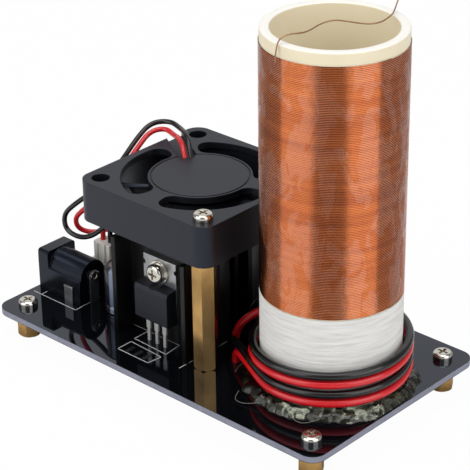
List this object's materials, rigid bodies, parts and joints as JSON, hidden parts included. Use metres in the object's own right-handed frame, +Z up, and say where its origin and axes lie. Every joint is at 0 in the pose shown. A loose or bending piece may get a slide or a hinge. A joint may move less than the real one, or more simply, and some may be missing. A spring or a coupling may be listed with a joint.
{
  "type": "desktop resonant transformer",
  "caption": "Bench-top resonant transformer: a copper coil on a white tube with a two-wire primary, on a driver board with heat sinks and a cooling fan.",
  "frame": {"origin": "centre of the bounding box on the plane that the feet stand on", "axes": "+X along the board from the power jack to the coil, +Y across the board, +Z up along the coil"},
  "size_m": [0.1, 0.0566, 0.0933],
  "materials": {
    "solder_mask": "glossy black solder mask on glass-fibre board",
    "brass": "turned brass hexagon bar",
    "nickel_screw": "nickel-plated steel",
    "fan_plastic": "moulded charcoal plastic, fine texture",
    "steel": "plain steel",
    "magnet_rubber": "magnetic rubber strip",
    "bearing_bronze": "oil-filled bronze",
    "enamelled_copper": "enamelled copper wire",
    "black_anodised": "black anodised extrusion",
    "tinned_pin": "tinned wire",
    "tinned_tab": "tinned copper",
    "epoxy": "moulded black epoxy",
    "jack_plastic": "moulded black plastic",
    "can_aluminium": "plain drawn aluminium",
    "printed_sleeve": "dark printed shrink sleeve with a pale stripe",
    "seal_rubber": "black rubber",
    "header_plastic": "white nylon, slightly yellow",
    "resistor_lacquer": "blue lacquer",
    "white_tube": "white rigid plastic tube",
    "paper_tape": "white paper tape with a fine weave",
    "red_insulation": "red flexible insulation",
    "black_insulation": "black flexible insulation",
    "clear_glue": "clear set glue, slightly milky",
    "solder": "bright solder"
  },
  "bodies": {
    "base": {"circuit_board": "solder_mask", "foot_standoffs": "brass", "foot_screws": "nickel_screw", "fan_standoffs": "brass", "fan_screws": "nickel_screw", "standoff_screws": "nickel_screw", "fan_frame": "fan_plastic", "fan_bearing": "bearing_bronze", "fan_stator_core": "steel", "fan_stator_coils": "enamelled_copper", "fan_circuit": "solder_mask", "heat_sink_front": "black_anodised", "heat_sink_rear": "black_anodised", "heat_sink_pins": "tinned_pin", "transistor_tab_front": "tinned_tab", "transistor_tab_rear": "tinned_tab", "transistor_body_front": "epoxy", "transistor_body_rear": "epoxy", "transistor_leads_front": "tinned_tab", "transistor_leads_rear": "tinned_tab", "tab_screws": "nickel_screw", "tab_washers": "nickel_screw", "power_jack_housing": "jack_plastic", "power_jack_pin": "nickel_screw", "power_jack_terminals": "tinned_tab", "capacitor_can": "can_aluminium", "capacitor_sleeve": "printed_sleeve", "capacitor_seal": "seal_rubber", "capacitor_leads": "tinned_pin", "fan_header": "header_plastic", "fan_header_pins": "tinned_pin", "fan_plug": "header_plastic", "resistor_bodies": "resistor_lacquer", "resistor_leads": "tinned_pin", "coil_former": "white_tube", "paper_band": "paper_tape", "secondary_turns": "enamelled_copper", "primary_wire_red": "red_insulation", "primary_wire_black": "black_insulation", "glue_ring": "clear_glue", "fan_wire_red": "red_insulation", "fan_wire_black": "black_insulation", "fine_wire": "enamelled_copper", "solder_joints": "solder"},
    "fan_rotor": {"fan_impeller": "fan_plastic", "fan_shaft": "steel", "fan_magnet_ring": "magnet_rubber"}
  },
  "joints": [
    {"name": "fan_spin", "type": "hinge", "parent": "base", "child": "fan_rotor", "pos_m": [-0.0091, 0.0007, 0.0396], "axis": [0, 0, 1], "continuous": true}
  ]
}
